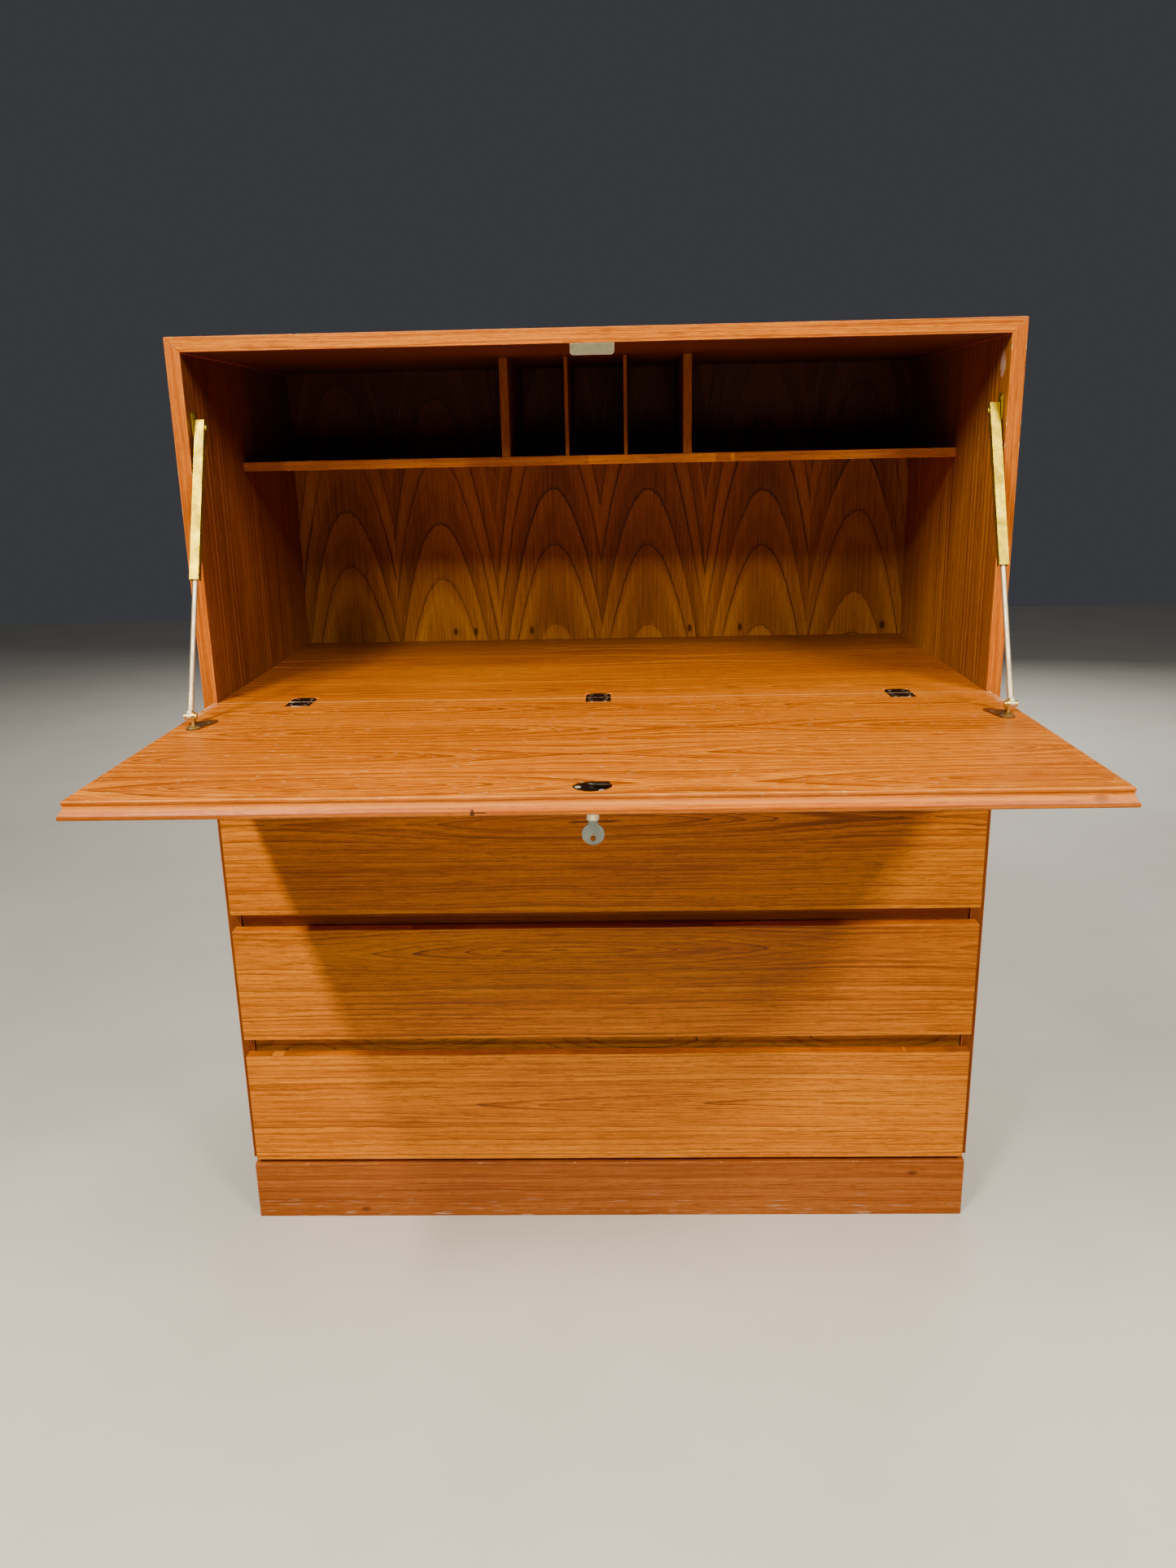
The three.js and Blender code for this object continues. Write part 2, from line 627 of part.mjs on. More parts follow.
// The upper plate, screwed to the case side; the channel's rivet turns against it.
const STAY_PLATE = { half: 7, below: 13, above: 20 };
function stayPlate() {
  const { half, below, above } = STAY_PLATE;
  const shape = roundedRectangle(
    upper.y - half, upper.y + half, upper.z - below, upper.z + above, Array(4).fill(half),
  );
  return alongX(shape, PLATE_FACE, INNER_HALF - GAP);
}

// The lid's bracket: a pear-shaped foot, an upright bent up from its outer end, and the pin.
const UPRIGHT = { inner: STAY_X - 5.2, outer: STAY_X - 2.2, half: 5 };
const FOOT_TOP = 2; // above the lid
// The foot's two rounded ends, placed from the pin: inwards, and towards the back.
const FOOT_FRONT = { inwards: 10.5, back: -22, radius: 8.5 };
const FOOT_REAR = { inwards: 20, back: 10, radius: 7.5 };
const PIN_HEAD = { innerRadius: 3.4, inner: 2.4, outerRadius: 3.6, outer: 2.6 };
function lidBracket() {
  const foot = new THREE.Shape();
  const [front, rear] = [FOOT_FRONT, FOOT_REAR];
  foot.absarc(
    STAY_X - front.inwards, lower.y + front.back, front.radius, Math.PI * 0.97, Math.PI * 1.97,
  );
  foot.lineTo(UPRIGHT.outer, lower.y + UPRIGHT.half);
  foot.absarc(STAY_X - rear.inwards, lower.y + rear.back, rear.radius, 0, Math.PI * 0.9);
  const plate = alongZ(foot, DESK + GAP, DESK + FOOT_TOP);
  const upright = roundedRectangle(
    lower.y - UPRIGHT.half, lower.y + UPRIGHT.half, DESK + 1, lower.z + UPRIGHT.half,
    [0, 0, UPRIGHT.half - 0.1, UPRIGHT.half - 0.1],
  );
  const tongue = alongX(upright, UPRIGHT.inner, UPRIGHT.outer);
  const innerEnd = UPRIGHT.inner - PIN_HEAD.inner;
  const outerEnd = EYE.outer + PIN_HEAD.outer;
  const pin = barX(PIN_RADIUS, innerEnd + 0.4, outerEnd - 1, lower.y, lower.z);
  const innerHead = barX(PIN_HEAD.innerRadius, innerEnd, UPRIGHT.inner + 0.5, lower.y, lower.z);
  const outerHead = barX(PIN_HEAD.outerRadius, EYE.outer + GAP, outerEnd, lower.y, lower.z);
  return join(plate, tongue, pin, innerHead, outerHead);
}

// Mirrors a right-hand piece to the left, turning its faces back outwards.
function mirrored(geometry) {
  const flat = geometry.index ? geometry.toNonIndexed() : geometry.clone();
  const position = flat.attributes.position;
  for (let i = 0; i < position.count; i += 3) {
    const corners = [0, 2, 1].map((k) => [
      -position.getX(i + k), position.getY(i + k), position.getZ(i + k),
    ]);
    corners.forEach((corner, k) => position.setXYZ(i + k, ...corner));
  }
  flat.computeVertexNormals();
  return flat;
}

const stayPieces = [
  ["stay_rod", stayRod, NICKEL],
  ["stay_channel", stayChannel, BRASS],
  ["stay_plate", stayPlate, BRASS],
  ["stay_bracket", lidBracket, BRONZE],
];
for (const [name, make, material] of stayPieces) {
  add(name + "_right", make(), material);
  add(name + "_left", mirrored(make()), material);
}

export default desk;
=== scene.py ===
"""Secretary desk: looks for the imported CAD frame, in metres, in the frame's own coordinates."""
import json
import math

import bmesh
import bpy
from mathutils import Matrix, Vector


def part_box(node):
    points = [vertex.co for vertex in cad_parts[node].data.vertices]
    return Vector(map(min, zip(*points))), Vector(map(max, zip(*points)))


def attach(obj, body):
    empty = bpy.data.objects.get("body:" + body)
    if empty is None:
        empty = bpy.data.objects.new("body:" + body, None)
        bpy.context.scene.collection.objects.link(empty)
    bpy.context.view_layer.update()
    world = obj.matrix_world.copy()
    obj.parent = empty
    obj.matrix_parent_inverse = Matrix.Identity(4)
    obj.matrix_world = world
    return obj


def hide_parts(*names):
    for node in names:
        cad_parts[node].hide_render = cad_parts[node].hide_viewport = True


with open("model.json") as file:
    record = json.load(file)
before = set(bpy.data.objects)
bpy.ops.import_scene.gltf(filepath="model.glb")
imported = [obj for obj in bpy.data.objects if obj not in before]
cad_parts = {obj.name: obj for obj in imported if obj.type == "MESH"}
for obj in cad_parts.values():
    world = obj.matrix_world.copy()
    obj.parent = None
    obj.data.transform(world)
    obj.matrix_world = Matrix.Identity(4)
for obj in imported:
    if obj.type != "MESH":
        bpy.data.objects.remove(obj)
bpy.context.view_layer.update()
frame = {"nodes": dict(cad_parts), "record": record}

# Places read from the frame.
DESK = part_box("writing_board")[1].z
JOINT_Y = (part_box("writing_board")[0].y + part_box("lid_panel")[1].y) / 2
FRONT_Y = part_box("side_left")[0].y
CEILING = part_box("strike_plate")[1].z


# ---------------------------------------------------------------- shader building
class Value:
    """A number that varies over a surface: a node's output, with the usual arithmetic."""

    def __init__(self, graph, socket):
        self.graph = graph
        self.socket = socket

    def __add__(self, other):
        return self.graph.math("ADD", self, other)

    def __radd__(self, other):
        return self.graph.math("ADD", other, self)

    def __sub__(self, other):
        return self.graph.math("SUBTRACT", self, other)

    def __rsub__(self, other):
        return self.graph.math("SUBTRACT", other, self)

    def __mul__(self, other):
        return self.graph.math("MULTIPLY", self, other)

    def __truediv__(self, other):
        return self.graph.math("DIVIDE", self, other)

    def __abs__(self):
        return self.graph.math("ABSOLUTE", self)


class Graph:
    """Short calls for building one material's node tree."""

    def __init__(self, name):
        self.material = bpy.data.materials.new(name)
        self.material.use_nodes = True
        self.tree = self.material.node_tree
        self.shader = self.tree.nodes["Principled BSDF"]
        self.coordinates = self.tree.nodes.new("ShaderNodeTexCoord").outputs["Object"]
        split = self.node("ShaderNodeSeparateXYZ", self.coordinates)
        self.x, self.y, self.z = (Value(self, socket) for socket in split.outputs)

    def axis(self, letter):
        return {"x": self.x, "y": self.y, "z": self.z}[letter]

    def others(self, letter, scale=None):
        """The two axes beside the given one, scaled if asked."""
        axes = [self.axis(other) for other in "xyz" if other != letter]
        return [axis * scale for axis in axes] if scale else axes

    def node(self, kind, *inputs):
        made = self.tree.nodes.new(kind)
        for socket, value in zip(made.inputs, inputs):
            self.feed(socket, value)
        return made

    def feed(self, socket, value):
        if isinstance(value, Value):
            value = value.socket
        if isinstance(value, bpy.types.NodeSocket):
            self.tree.links.new(value, socket)
        else:
            socket.default_value = value

    def math(self, operation, *values):
        made = self.node("ShaderNodeMath", *values)
        made.operation = operation
        return Value(self, made.outputs[0])

    def vector(self, x, y, z):
        return self.node("ShaderNodeCombineXYZ", x, y, z).outputs[0]

    def noise(self, place, scale, detail, roughness=0.5):
        """Noise over a vector, or along a line if place is a single value."""
        made = self.node("ShaderNodeTexNoise")
        along_line = isinstance(place, Value)
        if along_line:
            made.noise_dimensions = "1D"
        self.feed(made.inputs["W" if along_line else "Vector"], place)
        made.inputs["Scale"].default_value = scale
        made.inputs["Detail"].default_value = detail
        made.inputs["Roughness"].default_value = roughness
        return Value(self, made.outputs["Fac"])

    def ramp(self, factor, *stops):
        made = self.node("ShaderNodeValToRGB", factor)
        elements = made.color_ramp.elements
        while len(elements) < len(stops):
            elements.new(0.5)
        for element, (position, colour) in zip(elements, stops):
            element.position = position
            element.color = (*colour, 1.0)
        return made.outputs["Color"]

    def band(self, factor, low, high, to_low=0.0, to_high=1.0):
        """Maps factor from low..high to to_low..to_high, held at the ends."""
        made = self.node("ShaderNodeMapRange", factor, low, high, to_low, to_high)
        return Value(self, made.outputs["Result"])

    def mix(self, factor, a, b, blend="MIX"):
        made = self.tree.nodes.new("ShaderNodeMix")
        made.data_type = "RGBA"
        made.blend_type = blend
        self.feed(made.inputs[0], factor)
        self.feed(made.inputs[6], (*a, 1.0) if isinstance(a, tuple) else a)
        self.feed(made.inputs[7], (*b, 1.0) if isinstance(b, tuple) else b)
        return made.outputs[2]

    def finish(self, colour, roughness, height=None, strength=None, distance=None):
        """Feeds the shader; height is a bump of the given strength, its distance in metres."""
        self.feed(self.shader.inputs["Base Color"], colour)
        self.feed(self.shader.inputs["Roughness"], roughness)
        if height is not None:
            bump = self.node("ShaderNodeBump")
            bump.inputs["Strength"].default_value = strength
            bump.inputs["Distance"].default_value = distance
            self.feed(bump.inputs["Height"], height)
            self.feed(self.shader.inputs["Normal"], bump.outputs[0])
        return self.material


# ---------------------------------------------------------------- wood
# The four tones of each wood, from its darkest lines and pores to its palest bands.
ORANGE_TEAK = ((0.085, 0.014, 0.0), (0.31, 0.066, 0.0), (0.60, 0.152, 0.0), (0.84, 0.260, 0.002))
# INNER_TEAK and BACK_TEAK are teak darkened with painted shade, for the inside of the case.
INNER_TEAK = ((0.040, 0.007, 0.0), (0.14, 0.034, 0.0), (0.26, 0.076, 0.001), (0.42, 0.148, 0.004))
RED_TEAK = ((0.12, 0.020, 0.0), (0.36, 0.076, 0.001), (0.56, 0.135, 0.003), (0.76, 0.215, 0.008))
PLINTH_TEAK = ((0.08, 0.015, 0.001), (0.24, 0.056, 0.005), (0.37, 0.094, 0.009), (0.50, 0.145, 0.020))
FRONT_TEAK = ((0.070, 0.013, 0.0), (0.35, 0.080, 0.0), (0.72, 0.190, 0.0), (0.98, 0.315, 0.002))
BACK_TEAK = ((0.034, 0.008, 0.0004), (0.15, 0.045, 0.002), (0.28, 0.096, 0.004), (0.44, 0.175, 0.008))
RAIL_TEAK = ((0.06, 0.015, 0.0), (0.31, 0.095, 0.001), (0.52, 0.185, 0.003), (0.70, 0.270, 0.006))
PALE_WOOD = ((0.32, 0.16, 0.05), (0.55, 0.32, 0.12), (0.66, 0.42, 0.18), (0.74, 0.51, 0.25))

# How fine the marks in the wood are, in marks per metre: along the grain, then across it.
FIBRES = (9.0, 460.0)
FLECKS = (38.0, 520.0)
PORES = (110.0, 1700.0)
DRIFT = (3.2, 14.0)  # the growth lines' slow wander
SHAKE = (26.0, 160.0)  # and their small unevenness

LEAF_OFFSET = 0.37  # between the seeds of neighbouring veneer leaves
HEART_REACH = 0.030  # how far from the heart the growth lines have faded
TIP_RADIUS = 0.0022  # of the pointed arches
LACQUER = 0.15  # specular level of sound wood
RUBBED = 0.2  # specular level of worn edges


def tinted(tones, factor):
    return tuple(tuple(channel * factor for channel in tone) for tone in tones)


def leaves(g, v, heart, leaf, book):
    """The number of the veneer leaf at v, and the place across that leaf from its own centre.

    In book-matched veneer every second leaf is turned over.
    """
    if not leaf:
        return v * 0.0, v - heart
    count = (v - heart) / leaf
    number = g.math("ROUND", count)
    u = (count - number) * leaf
    if book:
        odd = g.math("MODULO", abs(number), 2.0)
        u = u * (1.0 - odd * 2.0)
    return number, u


def wood(
    name, along, across, tones=ORANGE_TEAK, leaf=None, book=False, heart=0.0, peak=0.0,
    period=0.63, rise=0.024, spread=0.03, ring=0.0055, wander=0.004, line=0.7, gloss=0.42,
    seed=0.0, dashes=0.62, bands=0.20, arches=None, details=None,
):
    """Veneer whose growth lines run along one axis and close into pointed arches about a heart.

    leaf is the veneer leaf's width; without it the whole face is one leaf about heart. ring is the
    distance between growth lines and wander how far they stray. The arches narrow to points half a
    period either side of peak; rise says how far they open, and spread how far from the heart.
    arches instead stacks round arches up the leaf: how steep they are, how far apart, and how far
    from the leaf's centre. bands, dashes and line are the strengths of the broad bands, the short
    dark flecks and the thin growth lines. details(g, colour, rough) adds a piece's own marks.
    """
    g = Graph(name)
    s = g.axis(along)
    v = g.axis(across)
    depth = g.axis(({"x", "y", "z"} - {along, across}).pop())

    def grain(scales, detail, roughness=0.5):
        lengthwise, crosswise = scales
        place = g.vector(s * lengthwise, v * crosswise, depth * crosswise)
        return g.noise(place, 1.0, detail, roughness)

    number, u = leaves(g, v, heart, leaf, book)
    leaf_seed = number * LEAF_OFFSET + seed
    slip = g.math("SINE", number * 2.3) * (0.022 if arches else 0.07)
    shifted = s + slip
    drift = g.noise(g.vector(shifted * DRIFT[0], u * DRIFT[1], leaf_seed + 4.0), 1.0, 1.5) - 0.5
    u = u + drift * (wander * 4)
    shake = g.noise(g.vector(shifted * SHAKE[0], u * SHAKE[1], leaf_seed), 1.0, 2.0) - 0.5
    if arches:
        steep, gap, offset = arches
        aside = u - offset
        field = shifted + aside * aside * steep
        field = field + shake * (gap * 0.09)
        slope = 1.0 + abs(aside) * (2 * steep)
        rings = number * 0.13 - field / gap
        line_width = 0.0034
        near_heart = 1.0
    else:
        wave = g.math("COSINE", (shifted - peak) * (2 * math.pi / period))
        ratio = u / spread
        fade = g.math("EXPONENT", ratio * ratio * -1.0)
        rounded = g.math("SQRT", u * u + TIP_RADIUS ** 2)
        field = (rounded - wave * rise * fade) + shake * (ring * 0.5)
        slope = 1.0
        gap = ring
        rings = field / ring + leaf_seed * 7.0
        line_width = min(0.0016, 0.35 * ring)
        near_heart = g.band(abs(field), 0.0, HEART_REACH, 1.0, 0.55)

    # Uneven growth: the rings crowd and spread, and each line comes and goes along its length.
    rings = rings + g.noise(rings, 0.55, 1.0) * 1.6
    phase = g.math("FRACT", rings)
    each = g.math("FLOOR", rings) * 3.7
    life = g.noise(g.vector(s * 3.5, each, leaf_seed), 1.0, 1.0)
    to_line = (1.0 - phase) / slope * gap
    thin = g.band(to_line, 0.15 * line_width, line_width, 1.0, 0.0)
    mark = thin * g.band(life, 0.36, 0.60) * line * near_heart

    broad = g.noise(rings, 0.9, 1.0)
    fibres = grain(FIBRES, 3.0, 0.7)
    dash = g.band(grain(FLECKS, 2.0, 0.6), 0.52, 0.68)
    pores = g.band(grain(PORES, 1.0), 0.58, 0.72)
    clouds = g.noise(g.vector(s * 2.2, v * 9.0, depth * 3.0 + leaf_seed), 1.0, 2.0)
    tone = g.band(broad, 0.34, 0.66, 0.5 - bands, 0.5 + bands) * 0.8
    tone = tone + g.band(fibres, 0.32, 0.68) * 0.40
    tone = tone + g.band(clouds, 0.35, 0.65) * 0.22
    tone = tone - g.band(phase, 0.35, 1.0) * 0.22

    dark, low, mid, high = tones
    colour = g.ramp(tone, (0.28, low), (0.58, mid), (0.92, high))
    colour = g.mix(dash * dashes, colour, low)
    colour = g.mix(pores * 0.40, colour, dark)
    colour = g.mix(mark, colour, dark)
    rough = g.band(clouds, 0.2, 0.8, gloss - 0.04, gloss + 0.07) + pores * 0.12
    height = fibres * 0.35 - (pores * 0.6 + mark * 0.3)
    if details:
        colour, rough = details(g, colour, rough)
    g.shader.inputs["Specular IOR Level"].default_value = LACQUER
    return g.finish(colour, rough, height, 0.35, 0.0002)


def worn(name, along, tones):
    """The rubbed arris of a teak edge: paler, with the wear coming and going along it."""
    bare_wood = (0.85, 0.50, 0.20)
    g = Graph(name)
    s = g.axis(along)
    patch = g.noise(g.vector(s * 14.0, *g.others(along)), 1.0, 3.0, 0.7)
    fibres = g.noise(g.vector(s * 30.0, *g.others(along, 900.0)), 1.0, 2.0)
    bare = g.noise(g.vector(s * 55.0, *g.others(along)), 1.0, 2.0, 0.6)
    low, mid, high = tones[1:]
    pale = tuple(min(1.0, channel * 1.15 + 0.04) for channel in high)
    colour = g.mix(g.band(patch, 0.40, 0.66), mid, pale)
    colour = g.mix(g.band(fibres, 0.55, 0.75) * 0.4, colour, low)
    colour = g.mix(g.band(bare, 0.62, 0.70), colour, bare_wood)
    g.shader.inputs["Specular IOR Level"].default_value = RUBBED
    return g.finish(colour, g.band(patch, 0.3, 0.7, 0.40, 0.55), fibres, 0.3, 0.0002)


def spot(g, place, size, soft=0.5):
    """1 inside an oval on two axes, such as {"x": 0.1, "z": 0.7}, fading to 0 at its rim."""
    total = 0.0
    for letter, centre in place.items():
        step = (g.axis(letter) - centre) / size[letter]
        total = total + step * step
    return g.band(total, 1.0 - soft, 1.0, 1.0, 0.0)


# ---------------------------------------------------------------- metals
def metal(name, base, dull, spots, rough, grain="z"):
    """Plated or solid metal with a dulled film, small dark spots and fine scratches along grain."""
    g = Graph(name)
    film = g.noise(g.coordinates, 60.0, 4.0, 0.6)
    fleck = g.noise(g.coordinates, 420.0, 2.0, 0.5)
    brushed = g.noise(g.vector(g.axis(grain) * 60.0, *g.others(grain, 2600.0)), 1.0, 2.0)
    colour = g.mix(g.band(film, 0.38, 0.68), base, dull)
    colour = g.mix(g.band(fleck, 0.64, 0.74) * 0.7, colour, spots)
    roughness = g.band(film, 0.3, 0.7, rough - 0.06, rough + 0.12) + brushed * 0.08
    g.shader.inputs["Metallic"].default_value = 1.0
    return g.finish(colour, roughness, brushed, 0.25, 0.00005)


# ---------------------------------------------------------------- mesh helpers
WELD = 1e-5  # CAD vertices closer than this are one
FLAT = 1.0  # degrees; CAD faces meeting at less than this are one
SQUARE = 0.9  # a face looks along an axis if its normal has this much of it


def link(name, mesh, body, slot, *materials):
    piece = bpy.data.objects.new(name, mesh)
    bpy.context.scene.collection.objects.link(piece)
    for material in materials:
        mesh.materials.append(material)
    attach(piece, body)
    return piece


def slot_of(node):
    return next(p["material_slot"] for p in frame["record"]["subparts"] if p["node"] == node)


def body_of(node):
    bodies = frame["record"]["behaviour"]["bodies"]
    return next(body for body, nodes in bodies.items() if node in nodes)


def smooth_mesh(name, bm, crease):
    """A mesh from bm, shaded smooth but for edges sharper than crease degrees."""
    mesh = bpy.data.meshes.new(name)
    for face in bm.faces:
        face.smooth = True
    bm.to_mesh(mesh)
    bm.free()
    mesh.set_sharp_from_angle(angle=math.radians(crease))
    return mesh


def eased(node, materials, edge=None, ease=0.0008, sort=None, sharp=28, swell=0.0):
    """A finished copy of a CAD piece: the same solid with its edges over sharp degrees eased.

    sort(normal, centre) picks a face's material; the eased edges take the edge material. swell moves
    every face outwards, to close the hairline between glued pieces.
    """
    bm = bmesh.new()
    bm.from_mesh(frame["nodes"][node].data)
    bmesh.ops.remove_doubles(bm, verts=bm.verts, dist=WELD)
    bmesh.ops.dissolve_limit(bm, angle_limit=math.radians(FLAT), verts=bm.verts, edges=bm.edges)
    bm.normal_update()
    moves = [(v, v.normal * swell * v.calc_shell_factor()) for v in bm.verts]
    for vertex, move in moves:
        vertex.co += move
    for face in bm.faces:
        face.material_index = sort(face.normal, face.calc_center_median()) if sort else 0
    corners = [e for e in bm.edges if e.is_manifold and e.calc_face_angle(0.0) > math.radians(sharp)]
    bmesh.ops.bevel(
        bm, geom=corners, offset=ease, offset_type="OFFSET", segments=2, profile=0.5,
        affect="EDGES", clamp_overlap=True, material=len(materials) if edge else -1,
    )
    mesh = smooth_mesh(node + "_finished", bm, crease=40)
    extra = [edge] if edge else []
    piece = link(node + "_finished", mesh, body_of(node), slot_of(node), *materials, *extra)
    normals = piece.modifiers.new("Normals", "WEIGHTED_NORMAL")
    normals.keep_sharp = True
    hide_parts(node)


def lathed(name, profile, segments=24):
    """A solid of revolution about Z from (radius, height) points, lowest first."""
    bm = bmesh.new()
    turns = [2 * math.pi * i / segments for i in range(segments)]
    rings = []
    for radius, height in profile:
        if radius == 0:
            rings.append([bm.verts.new((0, 0, height))])
        else:
            circle = [(radius * math.cos(t), radius * math.sin(t), height) for t in turns]
            rings.append([bm.verts.new(point) for point in circle])
    for lower, upper in zip(rings, rings[1:]):
        for i in range(segments):
            j = (i + 1) % segments
            a = [lower[0]] if len(lower) == 1 else [lower[i], lower[j]]
            b = [upper[0]] if len(upper) == 1 else [upper[j], upper[i]]
            bm.faces.new(a + b)
    return smooth_mesh(name, bm, crease=35)


def block(name, lo, hi, ease):
    """A box with eased edges."""
    bm = bmesh.new()
    size = Vector(hi) - Vector(lo)
    matrix = Matrix.Translation((Vector(lo) + Vector(hi)) / 2) @ Matrix.Diagonal((*size, 1.0))
    bmesh.ops.create_cube(bm, size=1.0, matrix=matrix)
    bmesh.ops.bevel(bm, geom=bm.edges, offset=ease, segments=3, profile=0.5, affect="EDGES")
    return smooth_mesh(name, bm, crease=50)


def screw_mesh(radius, dome):
    """A slotted screw head about Z, its seat at z = 0 and its top at z = dome."""
    profile = [
        (radius * 0.6, -0.0008), (radius, 0.0), (radius * 0.97, dome * 0.45),
        (radius * 0.7, dome * 0.9), (0, dome),
    ]
    reach, half_slot = radius * 1.2, radius * 0.13
    low_corner, high_corner = (-reach, -half_slot, dome * 0.2), (reach, half_slot, dome * 3)
    slot = block("slot", low_corner, high_corner, ease=0.00002)
    holder = bpy.data.objects.new("screw_holder", lathed("screw", profile))
    cutter = bpy.data.objects.new("slot_cutter", slot)
    for helper in (holder, cutter):
        bpy.context.scene.collection.objects.link(helper)
    cut = holder.modifiers.new("Slot", "BOOLEAN")
    cut.operation = "DIFFERENCE"
    cut.object = cutter
    depsgraph = bpy.context.evaluated_depsgraph_get()
    made = bpy.data.meshes.new_from_object(holder.evaluated_get(depsgraph))
    for helper in (holder, cutter):
        bpy.data.objects.remove(helper)
    made.set_sharp_from_angle(angle=math.radians(35))
    return made


def screw(name, place, normal, turn, body, slot, material, radius, dome):
    """A screw head at place, facing along normal, its slot turned by turn radians."""
    mesh = screw_mesh(radius, dome)
    facing = Vector(normal).to_track_quat("Z", "Y").to_matrix().to_4x4()
    mesh.transform(Matrix.Translation(place) @ facing @ Matrix.Rotation(turn, 4, "Z"))
    link(name, mesh, body, slot, material)


# ---------------------------------------------------------------- wooden pieces
EDGING_SWELL = 0.00013  # closes the hairline between the lid's panel and its edging


def build_case():
    """Sides, top, writing board, bottom, back, shelf, dividers and the drawers' frames."""
    upright_edge = worn("worn_upright", "z", RED_TEAK)
    level_edge = worn("worn_level", "x", RED_TEAK)
    build_shell(upright_edge, level_edge)
    build_board()
    straight = wood("teak_inner", "x", "y", INNER_TEAK, rise=0.004, ring=0.004, line=0.4, seed=6.0)
    eased("bottom_panel", [straight], level_edge)
    build_back()
    build_pigeonholes()
    build_rails()


def build_shell(upright_edge, level_edge):
    def shaded_foot(g, colour, rough):
        """The sides' front lips are darker below the lid's joint."""
        below = g.band(g.z, DESK - 0.040, DESK - 0.030, 0.72, 0.0)
        return g.mix(below, colour, (0.10, 0.018, 0.001)), rough

    def painted_shade_and_traces(g, colour, rough):
        """Painted shade darkens the left lining and painted light brightens the right one, which also
        has pale traces near its top corner.
        """
        right = g.band(g.x, 0.30, 0.31)  # 0 all over the left side and 1 all over the right
        # painted shade on the left lining, painted light on the right one
        colour = g.mix(1.0 - right, colour, (0.72, 0.60, 0.60), "MULTIPLY")
        colour = g.mix(right, colour, (1.10, 1.20, 1.20), "MULTIPLY")
        crumbs = g.band(g.noise(g.coordinates, 160.0, 3.0, 0.6), 0.40, 0.52)
        patch = spot(g, {"y": FRONT_Y + 0.028, "z": CEILING - 0.030}, {"y": 0.012, "z": 0.017})
        flecks = spot(g, {"y": FRONT_Y + 0.038, "z": CEILING - 0.135}, {"y": 0.006, "z": 0.004})
        marks = g.math("MAXIMUM", patch, flecks) * (right * crumbs)
        return g.mix(marks * 0.7, colour, (0.55, 0.42, 0.36)), rough

    def side_faces(normal, centre):
        if normal.y < -SQUARE:
            return 1
        faces_inwards = normal.x * centre.x < -0.1
        return 2 if faces_inwards else 0

    def top_faces(normal, centre):
        if normal.y < -SQUARE:
            return 1
        return 2 if normal.z < -SQUARE else 0

    lip = dict(rise=0.0, ring=0.0022, line=0.35)
    upright_lip = wood("teak_lip_upright", "z", "x", RED_TEAK, seed=3.1, details=shaded_foot, **lip)
    level_lip = wood("teak_lip_level", "x", "z", seed=5.2, **lip)
    side = wood(
        "teak_side", "z", "y", leaf=0.155, heart=0.06, rise=0.006, ring=0.0042, spread=0.05,
        line=0.5, seed=1.0,
    )
    lining = wood(
        "teak_lining", "z", "y", INNER_TEAK, leaf=0.155, heart=0.06, rise=0.002, ring=0.0060,
        line=0.6, seed=1.5, details=painted_shade_and_traces,
    )
    top = wood("teak_top", "x", "y", leaf=0.118, heart=0.03, peak=-0.1, seed=2.0)
    # the top's underside is darkened further with painted shade
    ceiling = wood("teak_ceiling", "x", "y", tinted(INNER_TEAK, 0.6), rise=0.004, ring=0.006, seed=2.5)
    for node in ("side_left", "side_right"):
        eased(node, [side, upright_lip, lining], upright_edge, sort=side_faces)
    eased("top_panel", [top, level_lip, ceiling], level_edge, sort=top_faces)


def build_board():
    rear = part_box("back_panel")[0].y

    def painted_board_shade(g, colour, rough):
        """Painted shade: the board darkens further in, towards the back panel."""
        inward = g.band(g.y, JOINT_Y, rear, 0.08, 1.0)
        return g.mix(inward, colour, (0.32, 0.35, 0.40), "MULTIPLY"), rough

    board = wood(
        "teak_board", "x", "y", leaf=0.108, heart=JOINT_Y + 0.05, peak=-0.26, seed=0.4,
        line=0.42, bands=0.26, dashes=0.75, details=painted_board_shade,
    )
    eased("writing_board", [board], worn("worn_board", "x", ORANGE_TEAK), ease=0.0009)


def build_back():
    # The back's small dark knots, all just above the desk, at these distances from the middle.
    knots = (-0.235, -0.203, -0.113, 0.139, 0.219, 0.444)
    shelf_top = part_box("shelf")[1].z

    def knots_and_painted_shade(g, colour, rough):
        """Small knots above the desk, and painted shade darkening the back above the shelf."""
        # painted shade on the back above the shelf
        above = g.band(g.z, shelf_top - 0.006, shelf_top)
        colour = g.mix(above, colour, (0.38, 0.20, 0.15), "MULTIPLY")
        for x in knots:
            size = {"x": 0.004 + 0.010 * abs(x) ** 2, "z": 0.008}
            knot = spot(g, {"x": x, "z": DESK + 0.014}, size, 0.8)
            colour = g.mix(knot * 0.85, colour, INNER_TEAK[0])
        return colour, rough

    leaf = 0.1625
    back = wood(
        "teak_back", "z", "x", BACK_TEAK, leaf=leaf, book=True, heart=leaf / 2,
        arches=(40.0, 0.098, -0.008), line=0.85, wander=0.002, dashes=0.25, seed=8.0, details=knots_and_painted_shade,
    )
    outside = wood(
        "back_outside", "z", "x", tinted(PLINTH_TEAK, 1.1), rise=0.01, ring=0.006, seed=9.0, gloss=0.6,
    )
    eased("back_panel", [back, outside], sort=lambda normal, centre: 1 if normal.y > SQUARE else 0)


